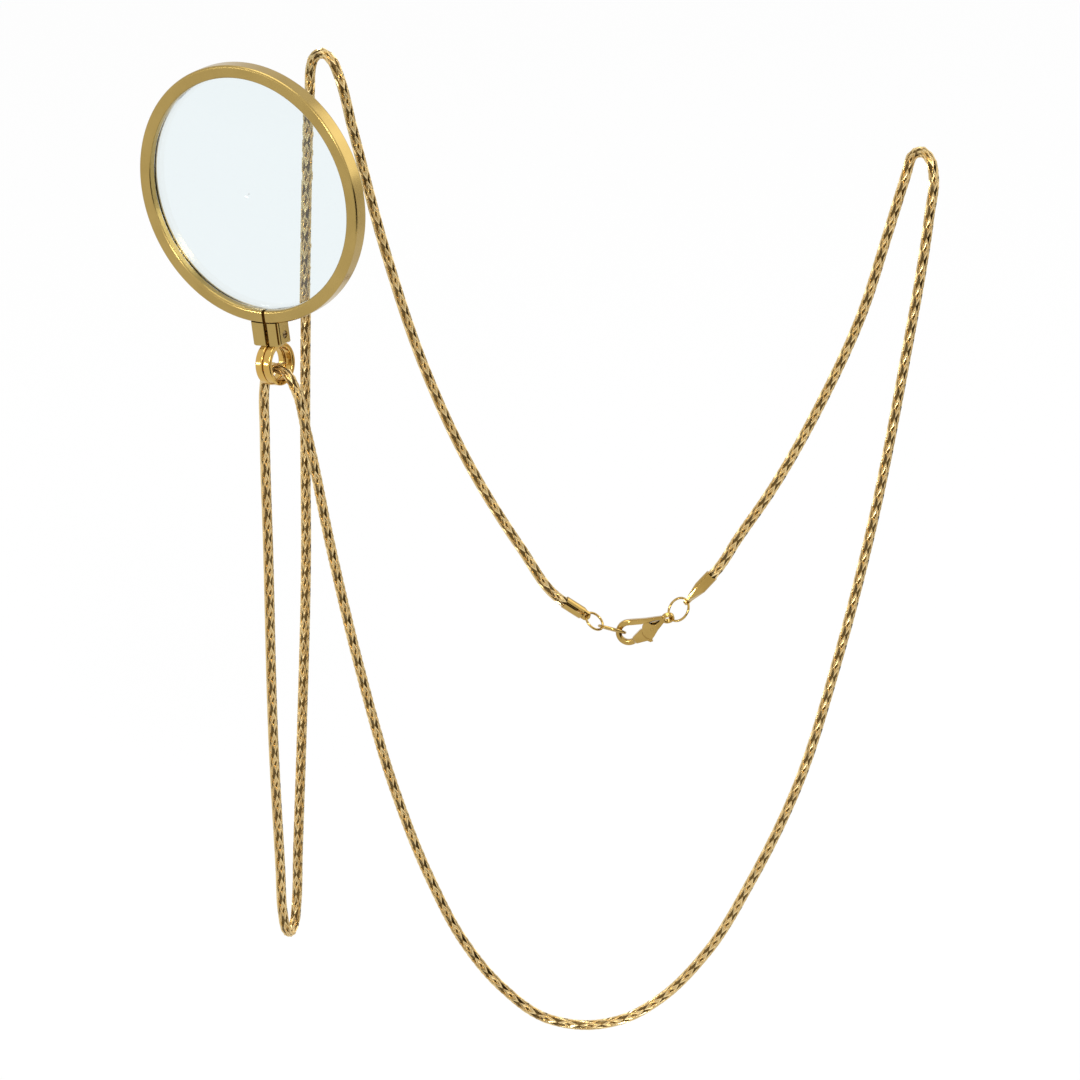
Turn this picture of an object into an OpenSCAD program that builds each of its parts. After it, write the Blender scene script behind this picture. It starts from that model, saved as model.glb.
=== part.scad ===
// A monocle on a fine chain: a split round rim with a clear lens, closed under two lugs by a screw,
// a double loop that the chain runs through, and a clasp that closes the chain.
// The origin is the rim's centre. The lens looks along -Y, and the chain hangs down along -Z.

/* [Rim] */
// Outside diameter of the rim
rim_od = 43; // [38:0.5:48]
// Width of the rim, from its opening to its outside
rim_w = 2.1; // [1.7:0.1:2.8]
// Depth of the rim, from front to back
rim_depth = 2.9; // [2.5:0.1:3.6]
// Radius of the rim's rounded edges
rim_edge_r = 0.42; // [0.2:0.02:0.5]
// Gap between the rim's two ends
rim_split = 0.6; // [0.3:0.1:0.9]
// Turn of the lugs from straight down
lug_turn = 8; // [0:1:14]

/* [Lens] */
// How far the lens's edge reaches into the rim
lens_bite = 0.6; // [0.4:0.05:0.8]
// Thickness of the lens at its edge
lens_edge_t = 1.1; // [0.8:0.1:1.4]
// Radius of the lens's front surface
lens_front_r = 150; // [120:5:400]
// Radius of the lens's back surface
lens_back_r = 165; // [130:5:400]
// How far the lens's edge lies behind the rim's front
lens_set_back = 1.3; // [1:0.1:1.5]

/* [Lugs] */
// Width of each lug
lug_w = 2.5; // [2:0.1:3]
// Depth of each lug, from front to back
lug_depth = 2.8; // [2.3:0.1:2.9]
// How far the lugs reach below the rim
lug_drop = 3.85; // [3.6:0.05:4.6]
// Radius of the lugs' long edges
lug_edge_r = 0.25; // [0.1:0.05:0.5]
// Radius of the lugs' outer bottom corners
lug_corner_r = 0.6; // [0.2:0.1:1]
// Width of the upright line cut in the right lug's front
lug_line_w = 0.38; // [0.2:0.02:0.5]
// Depth of that line
lug_line_deep = 0.55; // [0.2:0.05:0.6]
// Wall left outside that line
lug_line_wall = 0.24; // [0.2:0.02:0.4]

/* [Closing screw] */
// Diameter of the screw's shank
screw_d = 0.8; // [0.6:0.1:1]
// Diameter of the screw's head
screw_head_d = 1.2; // [1:0.1:1.4]
// Height of the screw's head
screw_head_h = 0.5; // [0.3:0.05:0.7]
// Width of the screw's slot
screw_slot_w = 0.22; // [0.16:0.02:0.3]
// How far the screw lies below the rim
screw_drop = 2.1; // [1.9:0.1:2.5]
// How far the screw's end stays inside the left lug
screw_end_wall = 0.4; // [0.2:0.1:0.8]

/* [Loop] */
// Outside diameter of the two bands
loop_od = 7.15; // [6.6:0.05:8]
// Inside diameter of the two bands
loop_id = 5.4; // [5:0.1:5.6]
// Width of each band
band_w = 1.4; // [1.1:0.1:1.6]
// Seam between the two bands
band_seam = 0.16; // [0.1:0.02:0.3]
// Radius of the bands' rounded edges
band_edge_r = 0.28; // [0.1:0.02:0.35]
// How far the bands are set into the lugs
band_seat = 0.25; // [0.15:0.05:0.4]

/* [Chain] */
// Diameter of the chain
chain_d = 1.7; // [1.4:0.1:2]

/* [End caps] */
// Outside diameter of a cap
cap_od = 2.15; // [2.1:0.05:2.6]
// Wall of a cap
cap_wall = 0.18; // [0.12:0.02:0.24]
// Depth of the chain's seat in a cap
cap_seat = 2.4; // [1.8:0.1:2.8]
// Length of the left cap's round part
left_tube = 3.5; // [2.9:0.1:3.8]
// Length of the right cap's round part
right_tube = 3; // [2.9:0.1:3.6]
// Length over which the left cap is pinched flat
left_pinch = 0.4; // [0.3:0.1:3]
// Length over which the right cap is pinched flat
right_pinch = 2.7; // [0.4:0.1:3]
// Thickness of a cap's flat tongue
tongue_t = 0.5; // [0.4:0.05:0.7]
// Width of the right cap's flat tongue
tongue_w = 1.3; // [1.1:0.1:1.6]
// Width of the left cap's flat tongue
left_tongue_w = 1.8; // [1.3:0.1:2]
// Hole in a cap's flat tongue
tongue_hole_d = 0.62; // [0.56:0.02:0.7]
// Slot along a cap's open seam
cap_seam_w = 0.5; // [0.3:0.1:0.8]

/* [Jump rings] */
// Outside diameter of the ring on the left cap
left_ring_od = 3.8; // [3.2:0.1:4.2]
// Outside diameter of the ring that the clasp holds
link_ring_od = 5; // [4.6:0.1:5.6]
// Outside diameter of the ring on the right cap
right_ring_od = 4.5; // [4.2:0.1:5.2]
// Wire of the two cap rings
ring_wire = 0.42; // [0.36:0.02:0.5]
// Wire of the ring that the clasp holds
link_wire = 0.54; // [0.46:0.02:0.6]
// Cut where a ring's wire ends meet
ring_cut = 0.08; // [0.04:0.02:0.16]

/* [Clasp] */
// Thickness of the clasp, across its flat
clasp_t = 1.4; // [1.3:0.1:1.8]
// Width of the hook's bar
hook_bar = 1; // [0.8:0.1:1.2]
// Radius of the hook's bar at its middle
hook_r = 1.7; // [1.6:0.05:2]
// Length of the clasp, from the hook's end to the eye's middle
clasp_len = 9.2; // [8.8:0.1:10]
// Turn of the eye from the clasp's flat
eye_turn = 42; // [30:2:60]
// Thickness of the lever inside the clasp
lever_t = 0.6; // [0.4:0.05:0.7]
// Diameter of the lever's pin
pin_d = 0.5; // [0.4:0.05:0.6]
// Outside diameter of the eye
eye_od = 2.2; // [2.1:0.05:2.5]
// Hole in the eye
eye_id = 1.25; // [1.1:0.05:1.3]
// Radius of the clasp's rounded edges
clasp_edge_r = 0.3; // [0.15:0.05:0.35]
// Width of the eye's band
eye_w = 0.9; // [0.7:0.1:1.2]
// Thickness of the lever's leaf spring
spring_t = 0.12; // [0.08:0.02:0.16]

/* [Hidden] */

// Clearances: fitted faces, soldered seams, running pins and hanging wires
fit = 0.04;
solder = 0.02;
running = 0.03;
link_gap = 0.06;
hook_gap = 0.25;
over = 1;

gold = [0.83, 0.67, 0.36];
deep_gold = [0.76, 0.58, 0.28];
steel = [0.75, 0.75, 0.77];
glass = [0.85, 0.93, 0.97, 0.35];

// The chain's route, one point after another: from the left cap's seat over the first peak, down to
// the low bend behind the rim and up to the loop
route_left = [
    [40.6, 33.8, -75.8], [38.1, 32, -73.6], [33, 28.5, -64.5], [25.5, 23.5, -48.5],
    [20, 19.7, -32.5], [15, 16, -12], [10.7, 13.3, 9], [8.8, 12, 18.6], [8, 11.9, 20.3],
    [6, 12, 21.4], [4.2, 12.1, 20.4], [3.4, 12.2, 18.4], [3.3, 12, 15], [3.2, 11, -2],
    [2.9, 9.5, -42], [2.9, 9, -66], [2.6, 7.2, -98], [2.3, 5.8, -120], [1.9, 5.6, -130],
    [2, 4.8, -133], [2.2, 3.3, -134.1], [2.4, 1.8, -132.8], [2.3, 1.1, -129.5],
    [1.9, 1.2, -121], [1.5, 0.6, -98], [1.5, 0.3, -62], [1.5, 0.1, -41], [1.8, 0, -32.6],
    [2.2, 0, -30.6], [4.1, 0.1, -29.3]];
// From the loop through the wide low curve, up over the second peak and down to the right cap
route_right = [
    [4.1, 0.1, -29.3], [6.1, 0.2, -29.8], [7.4, 0.5, -32], [8.5, 2, -40], [11.3, 4.6, -61.5],
    [14.8, 7.2, -83], [19.3, 10.5, -105.5], [24, 14, -122.5], [28.5, 17.3, -134.5],
    [33.5, 21, -143.2], [40, 26, -150], [46, 30.5, -151.5], [51, 34, -150.2],
    [55.5, 37.4, -146.8], [62, 42, -138], [68, 46.5, -124.5], [74, 51, -107], [79, 54.5, -84.5],
    [83.5, 58, -58], [87, 60.5, -31], [89.7, 62.6, -5], [90.1, 62.9, 1.6], [89.4, 63, 4.2],
    [87.6, 63.3, 5.3], [85.8, 63.5, 4.2], [84.8, 63.5, 1], [82.2, 62.2, -10], [79.2, 60.2, -23],
    [74, 56.7, -38.5], [67.3, 52.1, -54.5], [62.6, 49, -63.5], [60.2, 47.2, -68.5],
    [58, 45.7, -71.6]];
route = concat(route_left, [for (i = [1:len(route_right) - 1]) route_right[i]]);
route_loop = len(route_left) - 1;
chain_sides = 8;
long_span = 18;

// Sizes that follow from the ones above
rim_r = rim_od / 2;
opening_r = rim_r - rim_w;
lens_r = opening_r + lens_bite;
lens_front = rim_depth / 2 - lens_set_back;
lens_middle = lens_front - lens_edge_t / 2;
lug_end = rim_r + lug_drop;
loop_y = lug_end + loop_od / 2 - band_seat;
screw_y = rim_r + screw_drop;
lug_out = rim_split / 2 + lug_w;
head_seat = screw_head_h + fit;
cap_bore = cap_od - 2 * cap_wall;

function arc(c, r, a0, a1, n = 8) =
    [for (i = [0:n]) let (a = a0 + (a1 - a0) * i / n) [c[0] + r * cos(a), c[1] + r * sin(a)]];
function sag(r, curve_r) = curve_r - sqrt(curve_r * curve_r - r * r);
function unit(v) = v / norm(v);

// The smooth curve through the route's points
function span(i) = norm(route[i + 1] - route[i]);
function chord(i) = (route[i + 1] - route[i]) / span(i);
function run(i) = i == 0 ? chord(0) : i == len(route) - 1 ? chord(i - 1)
    : (chord(i - 1) * span(i) + chord(i) * span(i - 1)) / (span(i) + span(i - 1));
function on_route(i, t) = (2 * t^3 - 3 * t^2 + 1) * route[i] + (3 * t^2 - 2 * t^3) * route[i + 1]
    + span(i) * ((t^3 - 2 * t^2 + t) * run(i) + (t^3 - t^2) * run(i + 1));
function steps(i) = span(i) > long_span ? 2 : 1;
function stations(first, last) = concat(
    [for (i = [first:last - 1]) for (j = [0:steps(i) - 1]) on_route(i, j / steps(i))],
    [route[last]]);

// Directions along the chain at its two ends and the way each cap points
left_way = -chord(0);
right_way = chord(len(route) - 2);
left_mouth = route[0] - cap_seat * left_way;
right_mouth = route[len(route) - 1] - cap_seat * right_way;
left_hole_at = left_tube + left_pinch + tongue_hole_d / 2 + 0.25;
right_hole_at = right_tube + right_pinch + tongue_hole_d / 2 + 0.25;
left_hole = left_mouth + left_hole_at * left_way;
right_hole = right_mouth + right_hole_at * right_way;

// The clasp's outline, in its own plane: the hook's end at 0, the eye along +X, the lever below
hook_c = [hook_r + hook_bar / 2, -0.55];
hook_top = 68;
hook_tip = 285;
eye_c = [clasp_len, -0.1];
pivot = [clasp_len - 3.1, -1.1];
body_r = 1.75;
// The gate's end swings clear of the hook's end
gate_gap = 0.08;
hook_end = [for (r = [hook_r - hook_bar / 2, hook_r + hook_bar / 2])
    norm(hook_c + r * [cos(hook_tip), sin(hook_tip)] - pivot)];
gate_reach = min(hook_end) - gate_gap;
seat_in_hook = [hook_c[0] - hook_r + hook_bar / 2 + link_wire / 2 + hook_gap, hook_c[1] + 0.1];
wire_in_eye = eye_c + [(eye_id - ring_wire) / 2 - link_gap, 0];
seat_to_eye = wire_in_eye - seat_in_hook;

// The four links between the caps hang in one upright plane, and sag until they fit between
link_len = [left_ring_od - ring_wire, link_ring_od - link_wire - ring_wire / 2 - link_wire / 2 - link_gap,
    norm(seat_to_eye), right_ring_od - ring_wire];
link_sag = [-38, -18, 19, 45];
cap_gap = right_hole - left_hole;
gap_turn = atan2(cap_gap[1], cap_gap[0]);
gap_rise = asin(cap_gap[2] / norm(cap_gap));
function reach(k, n = 3) = n < 0 ? [0, 0]
    : reach(k, n - 1) + link_len[n] * [cos(k * link_sag[n]), sin(k * link_sag[n])];
function find_sag(lo, hi, n = 30) = let (mid = (lo + hi) / 2) n == 0 ? mid
    : norm(reach(mid)) > norm(cap_gap) ? find_sag(mid, hi, n - 1) : find_sag(lo, mid, n - 1);
sag_k = find_sag(0, 2);
tilt = gap_rise - atan2(reach(sag_k)[1], reach(sag_k)[0]);
function link_rise(n) = tilt + sag_k * link_sag[n];
function link_way(n) = [cos(link_rise(n)) * cos(gap_turn), cos(link_rise(n)) * sin(gap_turn),
    sin(link_rise(n))];
function joint_at(n) = n == 0 ? left_hole : joint_at(n - 1) + link_len[n - 1] * link_way(n - 1);
// Turn of each link about its own length
left_ring_roll = 21;
link_ring_roll = -24;
right_ring_roll = 32;
clasp_roll = -12;
clasp_rise = link_rise(2) - atan2(seat_to_eye[1], seat_to_eye[0]);

$fn = 48;

// Turns a flat drawing upright: its X and Y become X and Z, and its top faces the front
module upright() {
    rotate([90, 0, 0]) children();
}

// The lugs' own frame: X across the lugs, -Y away from the rim, +Z to the front
module lug_frame() {
    upright() rotate([0, 0, lug_turn]) children();
}

// Puts children at a point with their X along a direction, turned about it
module aim(point, way, roll) {
    translate(point)
        rotate([roll, -asin(way[2] / norm(way)), atan2(way[1], way[0])])
            children();
}

module rounded_rect(w, h, r) {
    square([w - 2 * r, h], center = true);
    square([w, h - 2 * r], center = true);
    for (x = [-1, 1]) for (y = [-1, 1])
        translate([x * (w / 2 - r), y * (h / 2 - r)]) circle(r, $fn = 32);
}

// A round bar bent into a ring about Z
module wire_ring(od, wire) {
    rotate_extrude($fn = 64) translate([(od - wire) / 2, 0]) circle(wire / 2, $fn = 20);
}

module rim() {
    e = rim_edge_r;
    z = rim_depth / 2;
    groove = lens_edge_t / 2 + fit;
    color(gold) upright() difference() {
        rotate_extrude($fn = 180) polygon(concat(
            arc([rim_r - e, z - e], e, 0, 90),
            arc([opening_r + e, z - e], e, 90, 180),
            [[opening_r, lens_middle + groove], [lens_r + fit, lens_middle],
             [opening_r, lens_middle - groove]],
            arc([opening_r + e, -z + e], e, 180, 270),
            arc([rim_r - e, -z + e], e, 270, 360)));
        rotate(lug_turn) translate([-rim_split / 2, -rim_od, -rim_depth])
            cube([rim_split, rim_od, 2 * rim_depth]);
    }
}

module lens() {
    edge = opening_r - fit;
    n = 10;
    front = [for (i = [0:n]) let (r = edge * i / n)
        [r, lens_front + sag(edge, lens_front_r) - sag(r, lens_front_r)]];
    back = [for (i = [n:-1:0]) let (r = edge * i / n)
        [r, lens_front - lens_edge_t + sag(edge, lens_back_r) - sag(r, lens_back_r)]];
    color(glass) upright()
        rotate_extrude($fn = 180) polygon(concat(front, [[lens_r, lens_middle]], back));
}

// The bottom of a lug seen from the front, with its outer corner rounded
module lug_outline(side) {
    r = lug_corner_r;
    inner = rim_split / 2;
    scale([side, 1]) polygon(concat(
        [[inner, -rim_r + rim_w / 2], [inner, -lug_end]],
        arc([lug_out - r, -lug_end + r], r, 270, 360),
        [[lug_out, -rim_r + rim_w / 2]]));
}

module lug_block(side) {
    difference() {
        intersection() {
            translate([0, 0, -lug_depth / 2]) linear_extrude(lug_depth) lug_outline(side);
            translate([side * (rim_split + lug_w) / 2, 0, 0]) rotate([90, 0, 0])
                linear_extrude(2 * lug_end) rounded_rect(lug_w, lug_depth, lug_edge_r);
        }
        translate([0, 0, -rim_depth]) cylinder(2 * rim_depth, r = rim_r + solder, $fn = 180);
        translate([-lug_end, -loop_y, 0]) rotate([0, 90, 0])
            cylinder(2 * lug_end, r = loop_od / 2 + solder, $fn = 64);
    }
}

module left_lug() {
    depth = lug_w - screw_end_wall;
    color(gold) lug_frame() difference() {
        lug_block(-1);
        translate([-rim_split / 2 - depth, -screw_y, 0]) rotate([0, 90, 0])
            cylinder(depth + over, d = screw_d + 2 * running);
    }
}

module right_lug() {
    color(gold) lug_frame() difference() {
        lug_block(1);
        translate([0, -screw_y, 0]) rotate([0, 90, 0]) {
            cylinder(lug_out + over, d = screw_d + 4 * running);
            translate([0, 0, lug_out - head_seat]) cylinder(head_seat + over, d = screw_head_d + 2 * fit);
        }
        translate([lug_out - lug_line_wall - lug_line_w, -2 * lug_end, lug_depth / 2 - lug_line_deep])
            cube([lug_line_w, 2 * lug_end, lug_depth]);
    }
}

// The screw's axis runs along the lugs' X, with its head in the right lug
module closing_screw() {
    shank = lug_out - head_seat + rim_split / 2 + lug_w - screw_end_wall - fit;
    dome = 0.12;
    color(deep_gold) lug_frame()
        translate([lug_out - head_seat, -screw_y, 0]) rotate([0, 90, 0]) difference() {
            rotate_extrude() polygon(concat(
                [[0, -shank], [screw_d / 2 - 0.15, -shank], [screw_d / 2, -shank + 0.15], [screw_d / 2, 0],
                 [screw_head_d / 2, 0], [screw_head_d / 2, screw_head_h - dome]],
                [for (i = [1:6]) let (a = 90 * i / 6)
                    [screw_head_d / 2 * cos(a), screw_head_h - dome + dome * sin(a)]]));
            translate([-screw_head_d, -screw_slot_w / 2, screw_head_h / 2])
                cube([2 * screw_head_d, screw_slot_w, screw_head_h]);
        }
}

// One band of the loop that the chain runs through
module band(side) {
    thick = (loop_od - loop_id) / 2;
    color(gold) lug_frame()
        translate([side * (band_seam + band_w) / 2, -loop_y, 0]) rotate([0, 90, 0])
            rotate_extrude($fn = 96) translate([(loop_od + loop_id) / 4, 0])
                rounded_rect(thick, band_w, band_edge_r);
}

// A round tube through the route's stations from one point to another
module chain_run(first, last) {
    at = stations(first, last);
    n = len(at);
    ends = [run(first), run(last)];
    ways = [for (i = [0:n - 1]) unit(i == 0 ? ends[0] : i == n - 1 ? ends[1] : at[i + 1] - at[i - 1])];
    side_way = [-0.6, 0.8, 0];
    points = [for (i = [0:n - 1])
        let (across = unit(cross(ways[i], side_way)), up = cross(ways[i], across))
        for (k = [0:chain_sides - 1]) let (a = 360 * k / chain_sides)
            at[i] + chain_d / 2 * (cos(a) * across + sin(a) * up)];
    walls = [for (i = [0:n - 2]) for (k = [0:chain_sides - 1])
        let (k2 = (k + 1) % chain_sides, a = i * chain_sides, b = a + chain_sides)
            [a + k, b + k, b + k2, a + k2]];
    starts = [[for (k = [0:chain_sides - 1]) k]];
    stops = [[for (k = [chain_sides - 1:-1:0]) (n - 1) * chain_sides + k]];
    color(deep_gold) polyhedron(points, concat(walls, starts, stops), convexity = 10);
}

// A crimped cap along +X from its mouth: a round seat, a pinched neck and a flat tongue with a hole
module end_cap(tube, pinch, hole_at, seam_turn, wide) {
    color(gold) difference() {
        union() {
            rotate([0, 90, 0]) cylinder(tube, d = cap_od);
            hull() {
                translate([tube - 0.1, 0, 0]) rotate([0, 90, 0]) cylinder(0.1, d = cap_od, $fn = 32);
                translate([tube + pinch, -tongue_t / 2, -wide / 2]) cube([0.1, tongue_t, wide]);
            }
            translate([tube + pinch, -tongue_t / 2, -wide / 2])
                cube([hole_at - tube - pinch, tongue_t, wide]);
            translate([hole_at, -tongue_t / 2, 0]) rotate([-90, 0, 0]) scale([tongue_w / wide, 1, 1])
                cylinder(tongue_t, d = wide);
        }
        translate([-over, 0, 0]) rotate([0, 90, 0]) cylinder(cap_seat + over, d = cap_bore);
        rotate([seam_turn, 0, 0]) translate([-over, -cap_od, -cap_seam_w / 2])
            cube([tube + over, cap_od, cap_seam_w]);
        translate([hole_at, -tongue_t, 0]) rotate([-90, 0, 0]) cylinder(2 * tongue_t, d = tongue_hole_d);
    }
}

// A jump ring between two joints, lying in its own X-Y plane, cut on one side
module jump_ring(n, od, wire, roll, back) {
    aim(joint_at(n), link_way(n), roll) difference() {
        translate([(od - wire) / 2 - back, 0, 0]) wire_ring(od, wire);
        translate([(od - wire) / 2 - back - ring_cut / 2, 0, -wire]) cube([ring_cut, od, 2 * wire]);
    }
}

// The clasp's frame: its outline's X and Y become the upright plane that the closure hangs in
module clasp_frame() {
    translate(joint_at(2)) rotate([clasp_roll, -clasp_rise, gap_turn])
        translate([-seat_in_hook[0], 0, -seat_in_hook[1]]) upright() children();
}

// A flat piece of the clasp, centred on its plane
module plate(t) {
    translate([0, 0, -t / 2]) linear_extrude(t) children();
}

// A flat piece of the clasp with its edges rounded in small steps
module soft_plate(t, r) {
    for (a = [0:30:90])
        linear_extrude(t - 2 * r * (1 - sin(a)), center = true) offset(delta = -r * (1 - cos(a))) children();
}

module arm_outline() {
    polygon([[hook_c[0] + 0.6, hook_c[1] + 2.1], [pivot[0] - 0.5, 0.95], [clasp_len - 1, 0.56],
        [clasp_len - 0.7, 0.2], [clasp_len - 0.9, -0.1], [pivot[0] + 0.1, 0.26], [pivot[0] - 1.45, 0.2],
        [hook_c[0] + 0.5, 0.6]]);
}

module cheek_outline() {
    intersection() {
        polygon([[pivot[0] - 1.7, 0.3], [clasp_len - 0.9, 0.2], [clasp_len - 0.7, -0.5],
            [pivot[0] + 0.95, -1.5], [pivot[0] + 0.1, -2.3], [pivot[0] - 0.4, -2.7], [pivot[0] - 1.7, -2.7]]);
        translate(pivot) circle(body_r - 0.06, $fn = 64);
    }
}

module clasp_body() {
    slot_t = lever_t + 4 * running;
    color(gold) clasp_frame() difference() {
        union() {
            translate(hook_c) rotate(hook_top)
                rotate_extrude(angle = hook_tip - hook_top, $fn = 64) translate([hook_r, 0])
                    rounded_rect(hook_bar, clasp_t, 0.45 * hook_bar);
            soft_plate(clasp_t, clasp_edge_r) arm_outline();
            soft_plate(clasp_t, clasp_edge_r / 2) cheek_outline();
            soft_plate(clasp_t, clasp_edge_r / 2) polygon([[pivot[0] + 1.2, 0.3], [clasp_len - 0.7, 0.2], [clasp_len - 0.7, -0.5],
                [pivot[0] + 0.9, -1.5]]);
            translate(eye_c) rotate([eye_turn, 0, 0]) rotate_extrude() translate([(eye_od + eye_id) / 4, 0])
                rounded_rect((eye_od - eye_id) / 2, eye_w, 0.22);
        }
        plate(slot_t) polygon([[pivot[0] - 2.4, -3.6], [pivot[0] - 2.4, 0.1], [pivot[0] + 1.7, 0.1],
            [pivot[0] + 1.7, -0.4], [pivot[0] + 1.1, -3.6]]);
        linear_extrude(clasp_t) polygon([[pivot[0] - 0.25, 0.18], [pivot[0] + 0.7, 0.24],
            [pivot[0] + 1.8, 0.06], [pivot[0] + 1.5, -0.25], [pivot[0] + 0.7, -0.52], [pivot[0] + 0.1, -0.3]]);
        translate([pivot[0], pivot[1], -clasp_t]) cylinder(2 * clasp_t, d = pin_d + 2 * solder);
        translate(eye_c) rotate([eye_turn, 0, 0]) cylinder(2 * eye_od, d = eye_id, center = true);
    }
}

module clasp_lever() {
    color(gold) clasp_frame() difference() {
        union() {
            soft_plate(clasp_t - 2 * running, clasp_edge_r / 2) difference() {
                intersection() {
                    polygon([[pivot[0] - 4, -1.8], [pivot[0] - 4, -2.6], [pivot[0] - 3.1, -2.72],
                        [pivot[0] - 1.3, -2.78], [pivot[0] - 0.9, -3.15], [pivot[0] - 0.4, -3.12],
                        [pivot[0] - 0.5, -2.6], [pivot[0] - 0.4, -2.4], [pivot[0] - 1.2, -1.4],
                        [pivot[0] - 1.75, -0.62], [pivot[0] - 2, -0.68]]);
                    translate(pivot) circle(gate_reach, $fn = 128);
                }
                translate(pivot) circle(body_r, $fn = 64);
            }
            plate(lever_t) polygon([[pivot[0] - 2.6, -2], [pivot[0] - 1.3, -2.78], [pivot[0] - 0.5, -2.6],
                [pivot[0] + 0.6, -1.6], [pivot[0] + 0.62, -0.8], [pivot[0] + 0.2, -0.45],
                [pivot[0] - 1.2, -0.55], [pivot[0] - 1.9, -0.72]]);
        }
        translate([pivot[0], pivot[1], -clasp_t]) cylinder(2 * clasp_t, d = pin_d + 4 * running);
    }
}

module lever_pin() {
    color(deep_gold) clasp_frame()
        translate([pivot[0], pivot[1], -clasp_t / 2]) cylinder(clasp_t, d = pin_d, $fn = 32);
}

// A bent leaf between the body's end and the lever's back
module lever_spring() {
    t = spring_t;
    color(steel) clasp_frame() plate(lever_t - 0.1) polygon([
        [pivot[0] + 1.68, -0.05], [pivot[0] + 0.2, 0], [pivot[0] - 0.9, -0.42], [pivot[0] - 1.2, -0.5],
        [pivot[0] - 1.2, -0.5 + t], [pivot[0] - 0.9, -0.42 + t], [pivot[0] + 0.2, t - 0.02],
        [pivot[0] + 1.68, -0.05 + t]]);
}

rim();
lens();
left_lug();
right_lug();
closing_screw();
band(-1);  // left_loop
band(1);  // right_loop
chain_run(0, route_loop);  // chain_left
chain_run(route_loop, len(route) - 1);  // chain_right
aim(left_mouth, left_way, left_ring_roll)  // left_cap
    end_cap(left_tube, left_pinch, left_hole_at, -38, left_tongue_w);
aim(right_mouth, right_way, 165 - right_ring_roll)  // right_cap
    end_cap(right_tube, right_pinch, right_hole_at, 180, tongue_w);
color(gold)  // left_cap_ring
    jump_ring(0, left_ring_od, ring_wire, left_ring_roll, 0);
color(gold)  // clasp_link_ring
    jump_ring(1, link_ring_od, link_wire, link_ring_roll, ring_wire / 2 + link_wire / 2 + link_gap);
color(gold)  // right_cap_ring
    jump_ring(3, right_ring_od, ring_wire, right_ring_roll, 0);
clasp_body();
clasp_lever();
lever_pin();
lever_spring();
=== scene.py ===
# %% [markdown]
# # A monocle on a long gold chain
# The object is a single round lens in a gold rim with two small clamp lugs, a
# double loop under them, and a thin woven chain that runs through the loop and
# is closed by a small hook clasp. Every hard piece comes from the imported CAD
# model, in metres, and stays where it is. Blender adds what the eye looks for:
# the woven links of the chain and the finish of each surface.

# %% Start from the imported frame
import math

import bmesh
import bpy
from mathutils import Matrix, Vector


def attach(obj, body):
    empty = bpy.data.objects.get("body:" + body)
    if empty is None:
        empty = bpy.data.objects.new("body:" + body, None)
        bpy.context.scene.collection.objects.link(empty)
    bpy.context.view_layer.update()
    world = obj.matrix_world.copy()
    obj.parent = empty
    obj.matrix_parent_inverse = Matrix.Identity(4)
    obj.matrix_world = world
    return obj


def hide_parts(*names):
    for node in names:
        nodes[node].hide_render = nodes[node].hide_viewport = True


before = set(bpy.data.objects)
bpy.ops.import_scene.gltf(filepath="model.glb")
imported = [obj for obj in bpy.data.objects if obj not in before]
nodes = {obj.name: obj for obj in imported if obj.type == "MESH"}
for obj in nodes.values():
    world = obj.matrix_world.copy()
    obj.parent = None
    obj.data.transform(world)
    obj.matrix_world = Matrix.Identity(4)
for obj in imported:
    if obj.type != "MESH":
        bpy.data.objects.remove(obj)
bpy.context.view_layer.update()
MM = 0.001

# %% [markdown]
# ## Camera
# The photograph looks down on the front from the right. Straight sides of the
# lugs stay almost parallel, so the lens is long: twelve degrees over the frame.
# The place and the angle were found by laying the rim's ellipse, the loop and
# the clasp over the photograph.

# %% Camera
camera_data = bpy.data.cameras.new("camera")
camera_data.sensor_fit = "HORIZONTAL"
camera_data.angle = math.radians(12)
camera_data.clip_start = 0.01
camera_data.clip_end = 20
camera = bpy.data.objects.new("camera", camera_data)
camera.location = (0.464575, -0.630275, 0.271263)
camera.rotation_euler = (math.radians(67), 0, math.radians(33))
bpy.context.scene.collection.objects.link(camera)
bpy.context.scene.camera = camera
print("camera at", tuple(round(v, 3) for v in camera.location))

# %% [markdown]
# ## The chain's route
# The chain is one free cord from the clasp's left cap, up over a high fold,
# down behind the lens, through the loop, and on the right down, along a slack
# bow and up over a second fold to the clasp's right cap. The same round points
# shape the solid in the CAD model, in millimetres here and metres below. A
# smooth curve goes through them, whose direction at each point leans to the
# nearer neighbour.

# %% Route points
route_left = [
    (40.6, 33.8, -75.8), (38.1, 32, -73.6), (33, 28.5, -64.5), (25.5, 23.5, -48.5),
    (20, 19.7, -32.5), (15, 16, -12), (10.7, 13.3, 9), (8.8, 12, 18.6),
    (8, 11.9, 20.3), (6, 12, 21.4), (4.2, 12.1, 20.4), (3.4, 12.2, 18.4),
    (3.3, 12, 15), (3.2, 11, -2), (2.9, 9.5, -42), (2.9, 9, -66),
    (2.6, 7.2, -98), (2.3, 5.8, -120), (1.9, 5.6, -130), (2, 4.8, -133),
    (2.2, 3.3, -134.1), (2.4, 1.8, -132.8), (2.3, 1.1, -129.5), (1.9, 1.2, -121),
    (1.5, 0.6, -98), (1.5, 0.3, -62), (1.5, 0.1, -41), (1.8, 0, -32.6),
    (2.2, 0, -30.6), (4.1, 0.1, -29.3),
]
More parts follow.
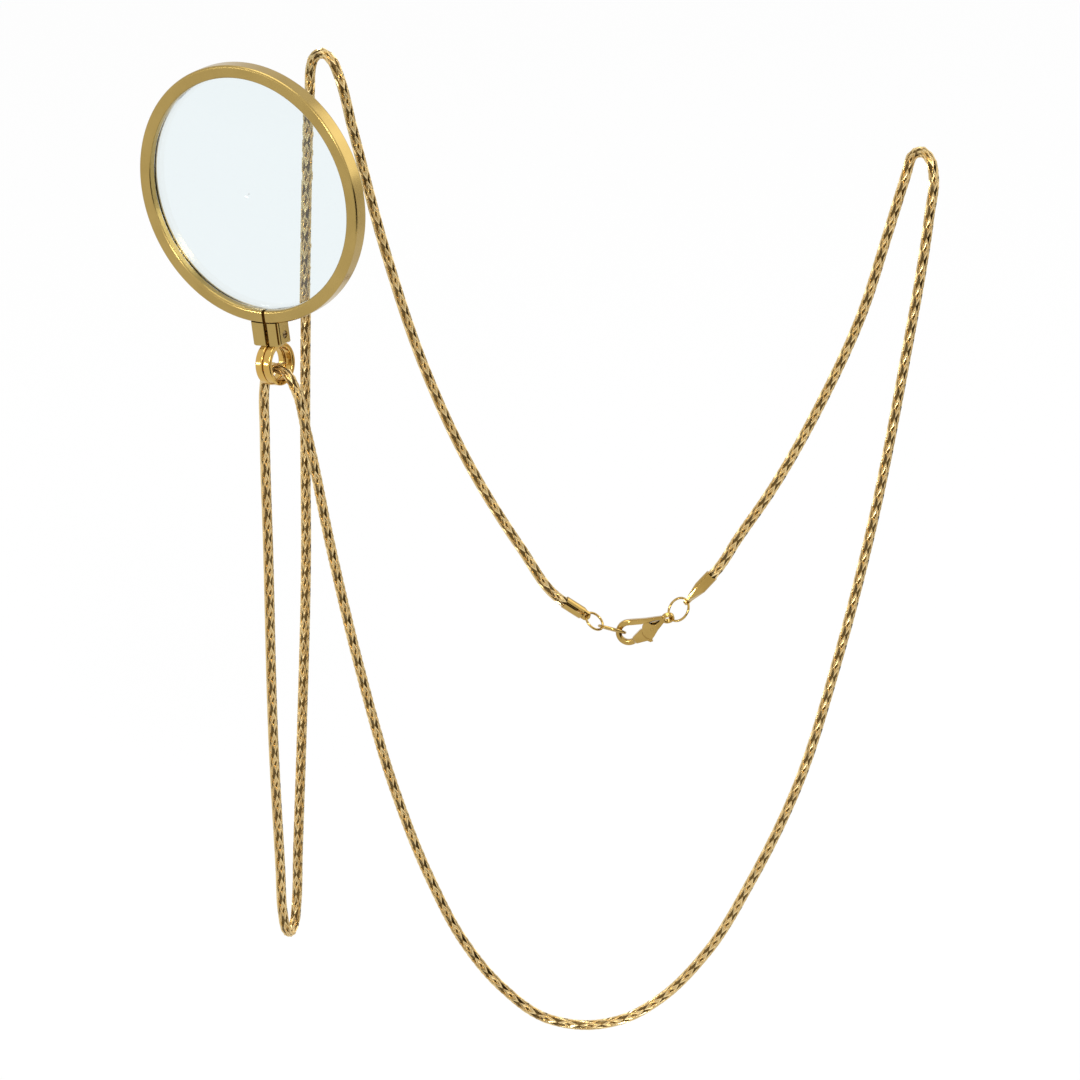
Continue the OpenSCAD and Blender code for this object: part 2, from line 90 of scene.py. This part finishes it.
route_right = [
    (4.1, 0.1, -29.3), (6.1, 0.2, -29.8), (7.4, 0.5, -32), (8.5, 2, -40),
    (11.3, 4.6, -61.5), (14.8, 7.2, -83), (19.3, 10.5, -105.5), (24, 14, -122.5),
    (28.5, 17.3, -134.5), (33.5, 21, -143.2), (40, 26, -150), (46, 30.5, -151.5),
    (51, 34, -150.2), (55.5, 37.4, -146.8), (62, 42, -138), (68, 46.5, -124.5),
    (74, 51, -107), (79, 54.5, -84.5), (83.5, 58, -58), (87, 60.5, -31),
    (89.7, 62.6, -5), (90.1, 62.9, 1.6), (89.4, 63, 4.2), (87.6, 63.3, 5.3),
    (85.8, 63.5, 4.2), (84.8, 63.5, 1), (82.2, 62.2, -10), (79.2, 60.2, -23),
    (74, 56.7, -38.5), (67.3, 52.1, -54.5), (62.6, 49, -63.5), (60.2, 47.2, -68.5),
    (58, 45.7, -71.6),
]
route = [Vector(p) * MM for p in route_left + route_right[1:]]
print("route points:", len(route))


# %% A smooth curve through the route
def smooth(points, gap):
    """Returns close points on a smooth curve through the given ones, and the
    place in that list of each given point."""
    steps = [b - a for a, b in zip(points, points[1:])]
    spans = [s.length for s in steps]
    units = [s.normalized() for s in steps]
    leans = [units[0]]
    for i in range(1, len(steps)):
        mix = units[i - 1] * spans[i] + units[i] * spans[i - 1]
        leans.append(mix / (spans[i - 1] + spans[i]))
    leans.append(units[-1])
    close, marks = [], []
    for i, span in enumerate(spans):
        marks.append(len(close))
        count = max(2, round(span / gap))
        for k in range(count):
            t = k / count
            close.append(
                points[i] * (2 * t**3 - 3 * t**2 + 1)
                + leans[i] * (span * (t**3 - 2 * t**2 + t))
                + points[i + 1] * (3 * t**2 - 2 * t**3)
                + leans[i + 1] * (span * (t**3 - t**2))
            )
    marks.append(len(close))
    close.append(points[-1])
    return close, marks


curve_gap = 0.4 * MM
line, marks = smooth(route, curve_gap)
loop_mark = marks[len(route_left) - 1]
line_left = line[: loop_mark + 1][::-1]
line_right = line[loop_mark:]


def length_of(points):
    """Returns the length of a line through those points."""
    return sum((b - a).length for a, b in zip(points, points[1:]))


print("chain in mm, left and right:", round(length_of(line_left) / MM, 1),
      round(length_of(line_right) / MM, 1))


# %% [markdown]
# ## Travelling along the chain
# A link is shaped once, upright on the origin, and then laid along the chain:
# its height becomes a distance along the line, and its sideways place is
# measured in a frame that travels with the line. The woven chain is four-sided
# and lies with one side to the front all along, so the frame keeps one axis as
# near to one fixed direction as the line allows.

# %% A frame that travels along the line
class Track:
    """A line with a frame at each point, one side of which looks to the front."""

    def __init__(self, points, front, turn):
        self.points = points
        self.at = [0.0]
        for a, b in zip(points, points[1:]):
            self.at.append(self.at[-1] + (b - a).length)
        self.length = self.at[-1]
        self.sides = []
        for i in range(len(points)):
            ahead = points[min(i + 1, len(points) - 1)] - points[max(i - 1, 0)]
            ahead.normalize()
            facing = (front - ahead * front.dot(ahead)).normalized()
            facing.rotate(Matrix.Rotation(turn, 3, ahead))
            self.sides.append((facing, ahead.cross(facing), ahead))

    def place(self, x, y, along):
        """Returns the point at that distance along, x and y off the line."""
        inside = min(max(along, 0.0), self.length)
        low, high = 0, len(self.at) - 1
        while high - low > 1:
            middle = (low + high) // 2
            if self.at[middle] <= inside:
                low = middle
            else:
                high = middle
        t = (inside - self.at[low]) / (self.at[high] - self.at[low])
        spot = self.points[low].lerp(self.points[high], t)
        side = self.sides[low][0].lerp(self.sides[high][0], t).normalized()
        cross = self.sides[low][1].lerp(self.sides[high][1], t).normalized()
        past = self.sides[high][2] * (along - inside)
        return spot + side * x + cross * y + past


chain_front = Vector((0.56, -0.76, 0.33))
tracks = {
    "left": Track(line_left, chain_front, math.radians(-14)),
    "right": Track(line_right, chain_front, 0),
}
print("tracks ready")

# %% [markdown]
# ## The woven links
# Each link is a closed ring of fine wire, bent like a saddle: two opposite
# bows reach forward along the chain and the two between them reach back. The
# next ring is turned a quarter, so that the bows of both frame small diamond
# openings, staggered from side to side. Each ring is two wires side by side,
# so its section has two ridges with a groove between them, which makes the
# chain glitter. It is spun once round, and the ring is bent with one formula
# for its height.

# %% One link
link_inside = 0.6 * MM
link_groove = 0.73 * MM
link_outside = 0.87 * MM
wire_tall = 1.95 * MM
link_pitch = 3.95 * MM
link_reach = 0.58 * link_pitch
link_steps = 12
ridge_at, edge_at = 0.3 * wire_tall, 0.5 * wire_tall


def woven_link():
    """Returns the mesh of one saddle-shaped ring, upright on the origin."""
    bm = bmesh.new()
    section = [(link_groove, 0, 0),
               (link_outside, 0, ridge_at), (link_inside, 0, edge_at),
               (link_inside, 0, -edge_at), (link_outside, 0, -ridge_at)]
    corners = [bm.verts.new(at) for at in section]
    edges = [bm.edges.new(pair) for pair in zip(corners, corners[1:] + corners[:1])]
    bmesh.ops.spin(bm, geom=corners + edges, cent=(0, 0, 0), axis=(0, 0, 1),
                   angle=2 * math.pi, steps=link_steps, use_merge=True)
    bmesh.ops.recalc_face_normals(bm, faces=bm.faces)
    for v in bm.verts:
        v.co.z += link_reach * math.cos(2 * math.atan2(v.co.y, v.co.x))
    mesh = bpy.data.meshes.new("one_link")
    bm.to_mesh(mesh)
    bm.free()
    return mesh


link_mesh = woven_link()
print("faces of one link:", len(link_mesh.polygons))

# %% [markdown]
# ## Weaving a strand
# A strand is its links in a row, with a core that stands for the inner
# wires, so that no light comes through the openings. Both are laid on the
# strand's track. Each point carries how deep it lies, from 0 on a ridge to 1
# on the core, and the chain's gold is painted darker the deeper it is: painted
# shade in the grooves and the openings, darkest on the core. The strand
# replaces its plain CAD solid.

# %% Strands
core_radius = 0.67 * MM
core_sides = 8
core_row = 0.7 * MM
wire_depth = 0.6


def strand(name, track, clear_start, clear_end):
    """Returns the woven strand on a track, as one object."""
    bm = bmesh.new()
    depth_of = bm.verts.layers.float.new("depth")
    first, last = clear_start, track.length - clear_end
    count = round((last - first) / (link_pitch / 2))
    step = (last - first) / count
    turned = Matrix.Rotation(math.pi / 2, 4, "Z")
    for k in range(count + 1):
        known = len(bm.verts)
        bm.from_mesh(link_mesh)
        bm.verts.ensure_lookup_table()
        fresh = bm.verts[known:]
        if k % 2:
            bmesh.ops.transform(bm, matrix=turned, verts=fresh)
        for v in fresh:
            off = math.hypot(v.co.x, v.co.y)
            # how deep the point lies, which the chain's gold turns into painted shade
            v[depth_of] = (link_outside - off) / (link_outside - link_inside) * wire_depth
            v.co = track.place(v.co.x, v.co.y, first + k * step + v.co.z)
    ring = []
    rows = round(track.length / core_row)
    for r in range(rows + 1):
        circle = bmesh.ops.create_circle(bm, segments=core_sides,
                                         radius=core_radius)["verts"]
        for v in circle:
            # the core lies deepest and gets the darkest painted shade
            v[depth_of] = 1
            v.co = track.place(v.co.x, v.co.y, r * track.length / rows)
        if r in (0, rows):
            bm.faces.new(circle)
        edges = list(dict.fromkeys(e for v in circle for e in v.link_edges))
        if ring:
            bmesh.ops.bridge_loops(bm, edges=ring + edges)
        ring = edges
    bmesh.ops.recalc_face_normals(bm, faces=bm.faces)
    mesh = bpy.data.meshes.new(name)
    bm.to_mesh(mesh)
    bm.free()
    woven = bpy.data.objects.new(name, mesh)
    bpy.context.scene.collection.objects.link(woven)
    print(name, "links:", count + 1, "faces:", len(mesh.polygons))
    return woven


start_clear = link_pitch / 4
end_clear = 1.2 * MM
strand_left = strand("woven_left", tracks["left"], start_clear, end_clear)
strand_right = strand("woven_right", tracks["right"], start_clear, end_clear)
for woven, solid in ((strand_left, "chain_left"), (strand_right, "chain_right")):
    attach(woven, "monocle")
    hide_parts(solid)

length_of(line_left)
length_of(line_right)


# %% [markdown]
# ## Shader maths as plain arithmetic
# Finishes are built from small sums, such as a roughness plus a mask times an
# amount. A tiny class wraps a node's output, so that such a sum adds its Math
# nodes by itself, and one method adds every other kind of node.

# %% A wrapper for sockets
class Value:
    """One output of a node; arithmetic on it adds the Math nodes."""

    def __init__(self, shade, socket):
        self.shade, self.socket = shade, socket

    def maths(self, operation, first, second):
        return self.shade.node("ShaderNodeMath", {"operation": operation},
                               {0: first, 1: second})

    def __add__(self, other):
        return self.maths("ADD", self, other)

    def __sub__(self, other):
        return self.maths("SUBTRACT", self, other)

    def __mul__(self, other):
        return self.maths("MULTIPLY", self, other)

    def lesser(self, other):
        return self.maths("MINIMUM", self, other)

    def larger(self, other):
        return self.maths("MAXIMUM", self, other)

    __radd__ = __add__


class Shade:
    """A node tree that is filled by plain calls."""

    def __init__(self, tree):
        self.tree = tree

    def node(self, kind, settings=None, sockets=None, out=0):
        """Adds a node: its settings first, then values or links by socket."""
        made = self.tree.nodes.new(kind)
        for key, value in (settings or {}).items():
            setattr(made, key, value)
        for key, value in (sockets or {}).items():
            if isinstance(value, Value):
                self.tree.links.new(value.socket, made.inputs[key])
            else:
                made.inputs[key].default_value = value
        return Value(self, made.outputs[out])

    def mix(self, mask, first, second):
        """Mixes two colours by a mask."""
        return self.node("ShaderNodeMix", {"data_type": "RGBA"},
                         {0: mask, 6: first, 7: second}, out=2)

    def noise(self, size, detail, stretch=(1, 1, 1)):
        """Noise on the object's own coordinates, with features of that size."""
        spot = self.node("ShaderNodeTexCoord", out=3)
        spot = self.node("ShaderNodeMapping", None, {"Vector": spot, "Scale": stretch})
        return self.node("ShaderNodeTexNoise", None,
                         {"Vector": spot, "Scale": 1 / size, "Detail": detail})


def rgb(red, green, blue):
    """A colour written as it looks on a screen, 0 to 255, made linear."""
    def linear(v):
        v /= 255
        return v / 12.92 if v <= 0.04045 else ((v + 0.055) / 1.055) ** 2.4
    return (linear(red), linear(green), linear(blue), 1)


def new_surface(name, **sockets):
    """Makes a material; returns it, its tree's Shade and its Principled shader."""
    material = bpy.data.materials.new(name)
    material.use_nodes = True
    shade = Shade(material.node_tree)
    shader = material.node_tree.nodes["Principled BSDF"]
    for key, value in sockets.items():
        shader.inputs[key.replace("_", " ")].default_value = value
    return material, shade, shader


def feed(shade, shader, **links):
    """Links values to the shader's sockets of those names."""
    for key, value in links.items():
        shade.tree.links.new(value.socket, shader.inputs[key.replace("_", " ")])


def relief(shade, height, depth):
    """A soft Bump node for a height of that depth in metres."""
    return shade.node("ShaderNodeBump", None,
                      {"Height": height, "Distance": depth, "Strength": 0.5})


def seen_share(shade):
    """One for rays of the camera, a mirror image or a view through glass."""
    path = shade.node("ShaderNodeLightPath").socket.node
    return (Value(shade, path.outputs["Is Camera Ray"])
            + Value(shade, path.outputs["Is Glossy Ray"])
            + Value(shade, path.outputs["Is Transmission Ray"])).lesser(1)


print("shader helpers ready")

# %% [markdown]
# ## Gold
# The rim and its lugs are old plated gold: a dull warm yellow that mirrors
# softly, a little browner in patches where it has been handled, with very fine
# lines from polishing. The loops, caps, rings and clasp are smoother and more
# softly pressed, so they get higher waves and a sharper mirror. The loops get
# the lightest gold of all, a painted highlight for the light they catch.

# %% Gold for the rim and the fittings
patch_size, wave_size, streak_size, speck_size = 6 * MM, 1.3 * MM, 0.5 * MM, 0.25 * MM


def gold(name, face, worn, rough, wave):
    """Plated gold; wave is the height of its soft waves in millimetres."""
    material, shade, shader = new_surface(name, Metallic=1.0)
    patches = shade.noise(patch_size, 3)
    streaks = shade.noise(streak_size, 4, (1, 1, 0.12))
    specks = shade.noise(speck_size, 2)
    colour = shade.mix(patches * 1.6 - 0.3, face, worn)
    waves = shade.noise(wave_size, 1)
    height = (streaks * 0.6 + specks * 0.4) * 0.004 + waves * wave
    feed(shade, shader, Base_Color=colour,
         Roughness=rough + (patches - 0.5) * 0.12 + (streaks - 0.5) * 0.1,
         Normal=relief(shade, height, 1 * MM))
    return material


gold_plate = gold("old_gold", rgb(180, 154, 92), rgb(162, 137, 78), 0.22, 0.01)
gold_small = gold("bright_gold", rgb(192, 161, 94), rgb(162, 131, 68), 0.14, 0.14)
# The loops' lighter colours are a painted highlight.
gold_loops_painted_highlight = gold("loop_gold_painted_highlight", rgb(214, 178, 102), rgb(190, 152, 78), 0.14, 0.05)
print("gold ready")


# %% Gold of the chain
def chain_gold():
    """Bright gold on the links' ridges, with painted shade in the grooves and on the core."""
    material, shade, shader = new_surface("woven_gold", Metallic=1.0)
    depth = shade.node("ShaderNodeAttribute", {"attribute_name": "depth"}, None, out=2)
    grain = shade.noise(0.3 * MM, 2)
    tone = shade.noise(4 * MM, 2)
    face = shade.mix(tone * 1.4 - 0.2, rgb(226, 202, 150), rgb(206, 178, 124))
    # painted shade: the deeper a point lies, the darker its gold, down to dark brown on the
    # core
    painted_shade = (depth * 1.5 - 0.35).larger(0).lesser(1)
    colour = shade.mix(painted_shade, face, rgb(98, 78, 44))
    feed(shade, shader, Base_Color=colour, Roughness=0.2 + grain * 0.15,
         Normal=relief(shade, grain, 0.006 * MM))
    return material


chain_metal = chain_gold()
for woven in (strand_left, strand_right):
    woven.data.materials.append(chain_metal)
print("chain gold ready")

# %% Glass, steel and screw
screw_metal, shade, shader = new_surface("worn_screw", Base_Color=rgb(150, 128, 88),
                                         Metallic=1.0)
scratches = shade.noise(0.2 * MM, 3, (0.3, 1, 1))
feed(shade, shader, Base_Color=shade.mix(scratches, rgb(172, 150, 108), rgb(112, 92, 58)),
     Roughness=0.25 + scratches * 0.25, Normal=relief(shade, scratches, 0.006 * MM))

glass, shade, shader = new_surface("lens_glass", Base_Color=rgb(238, 246, 248),
                                   Roughness=0.0, IOR=1.5, Transmission_Weight=1.0)
smudge = shade.noise(9 * MM, 2)
feed(shade, shader, Roughness=(smudge - 0.55).larger(0) * 0.02)

steel, shade, shader = new_surface("spring_steel", Base_Color=rgb(176, 172, 164),
                                   Metallic=1.0)
streaks = shade.noise(0.4 * MM, 3)
feed(shade, shader, Roughness=0.25 + streaks * 0.2, Normal=relief(shade, streaks, 0.004 * MM))
print("glass and steel ready")


# %% Dress the CAD nodes
def dress(material, *names):
    """Puts a material in every slot of those CAD nodes."""
    for name in names:
        if not nodes[name].material_slots:
            nodes[name].data.materials.append(material)
        for slot in nodes[name].material_slots:
            slot.material = material


dress(gold_plate, "rim", "left_lug", "right_lug")
dress(gold_loops_painted_highlight, "left_loop", "right_loop")
dress(gold_small, "left_cap", "right_cap", "left_cap_ring", "clasp_link_ring",
      "right_cap_ring", "clasp_body", "clasp_lever", "lever_pin")
dress(screw_metal, "closing_screw")
dress(steel, "lever_spring")
dress(glass, "lens")
print("dressed:", len(nodes))

# %% [markdown]
# ## Floor, background and light
# The photograph is cut out on white. The floor lies well below the chain, so
# the soft shadow falls outside the picture. Seen by the camera, in the metal
# or through the glass, floor and sky are plain white; for the light itself
# they are a pale studio.

# %% Floor and sky
floor_level = -0.2
floor_mesh = bpy.data.meshes.new("floor")
bm = bmesh.new()
bmesh.ops.create_grid(bm, x_segments=8, y_segments=8, size=4)
bmesh.ops.translate(bm, vec=(0, 0, floor_level), verts=bm.verts)
bm.to_mesh(floor_mesh)
bm.free()
floor = bpy.data.objects.new("floor", floor_mesh)
bpy.context.scene.collection.objects.link(floor)

paper, shade, shader = new_surface("pale_paper", Base_Color=(0.8, 0.8, 0.8, 1),
                                   Roughness=0.9)
white = shade.node("ShaderNodeEmission", None, {"Color": (1, 1, 1, 1), "Strength": 1.04})
both = shade.node("ShaderNodeMixShader", None,
                  {0: seen_share(shade) * 0.85, 1: Value(shade, shader.outputs[0]), 2: white})
out = shade.tree.nodes["Material Output"]
shade.tree.links.new(both.socket, out.inputs["Surface"])
floor_mesh.materials.append(paper)

world = bpy.data.worlds.new("studio")
bpy.context.scene.world = world
world.use_nodes = True
shade = Shade(world.node_tree)
sky = world.node_tree.nodes["Background"]
sky.inputs["Color"].default_value = (1, 1, 1, 1)
sky_strength = 0.45 + seen_share(shade) * 0.55
shade.tree.links.new(sky_strength.socket, sky.inputs["Strength"])
print("floor and sky ready")


# %% Lamps
middle = Vector((0.03, 0.03, -0.05))


def softbox(name, at, size, power):
    """A square lamp at that place, turned to the middle of the object."""
    data = bpy.data.lights.new(name, "AREA")
    data.shape = "SQUARE"
    data.size = size
    data.energy = power
    lamp = bpy.data.objects.new(name, data)
    lamp.location = at
    aim = middle - Vector(at)
    lamp.rotation_euler = aim.to_track_quat("-Z", "Y").to_euler()
    bpy.context.scene.collection.objects.link(lamp)


softbox("key_lamp", (0.5, -0.62, 0.58), 0.22, 5)
softbox("left_lamp", (-0.62, -0.87, 0.08), 0.07, 1.2)
softbox("back_lamp", (0.76, 1.0, 0.55), 1.0, 4)
softbox("top_lamp", (-0.3, 0.1, 1.2), 0.9, 6)
print("lamps ready")

# %% [markdown]
# ## A dark card
# Polished metal shows what stands round it. The dark line along every rounded
# edge in the photograph is the mirror image of something dark, low on the
# right of the camera. A dark card stands there, which only the metal sees.

# %% Dark card
card_wide, card_tall = 0.68, 0.28
card_at = Vector((0.42, 0.02, -0.1))
card_mesh = bpy.data.meshes.new("dark_card")
bm = bmesh.new()
bmesh.ops.create_grid(bm, x_segments=2, y_segments=2, size=0.5)
bmesh.ops.scale(bm, vec=(card_wide, card_tall, 1), verts=bm.verts)
aim = (middle - card_at).to_track_quat("Z", "Y").to_matrix().to_4x4()
bmesh.ops.transform(bm, matrix=Matrix.Translation(card_at) @ aim, verts=bm.verts)
bm.to_mesh(card_mesh)
bm.free()
card = bpy.data.objects.new("dark_card", card_mesh)
bpy.context.scene.collection.objects.link(card)
felt, shade, shader = new_surface("dark_felt", Base_Color=(0.03, 0.025, 0.02, 1),
                                  Roughness=1.0)
card_mesh.materials.append(felt)
for ray in ("camera", "diffuse", "transmission", "shadow", "volume_scatter"):
    setattr(card, "visible_" + ray, False)
print("card at", tuple(round(v, 2) for v in card_at))

# %% Colours as they are
bpy.context.scene.view_settings.view_transform = "Standard"
print("view:", bpy.context.scene.view_settings.view_transform)
